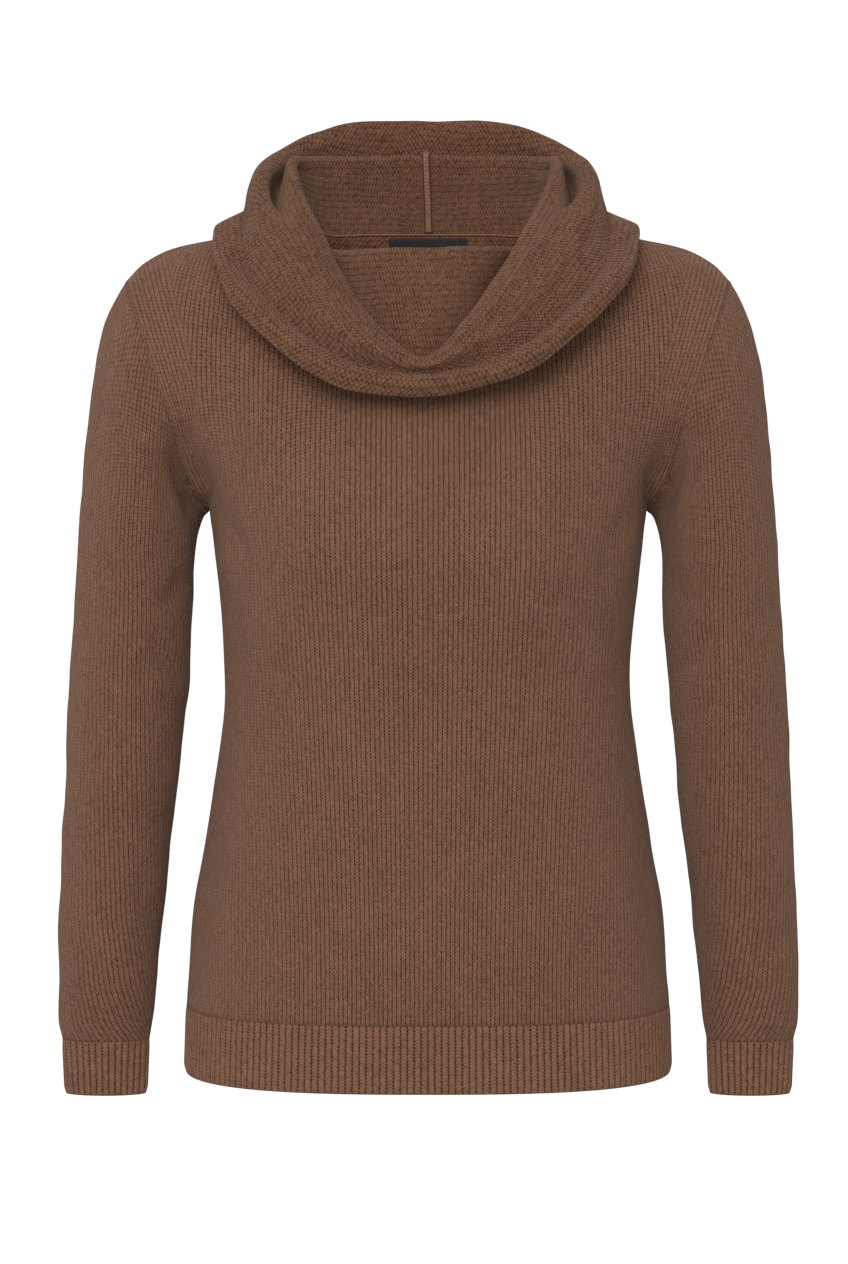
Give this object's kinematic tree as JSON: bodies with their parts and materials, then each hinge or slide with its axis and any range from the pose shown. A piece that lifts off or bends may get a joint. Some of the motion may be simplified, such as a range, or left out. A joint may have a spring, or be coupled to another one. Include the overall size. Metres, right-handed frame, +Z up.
{
  "type": "cowl-neck sweater",
  "caption": "Fine-knit pullover with a deep slouched cowl collar, set-in sleeves, ribbed hem and ribbed cuffs, filled out as if worn.",
  "frame": {"origin": "between the high points of the shoulders, where a wearer or a hanger holds the garment up", "axes": "+Z up from hem to neck, the front faces -Y, the wearer's left is +X"},
  "size_m": [0.529, 0.2386, 0.7063],
  "materials": {
    "knit": "matt brown stockinette",
    "rib": "matt brown rib",
    "collar_knit": "matt brown reverse stockinette",
    "label": "plain dark woven strip"
  },
  "bodies": {
    "root": {"front_panel": "knit", "back_panel": "knit", "right_sleeve": "knit", "left_sleeve": "knit", "front_hem_rib": "rib", "back_hem_rib": "rib", "right_cuff": "rib", "left_cuff": "rib", "cowl_collar": "collar_knit", "collar_seam": "collar_knit", "neck_label": "label"}
  },
  "joints": []
}
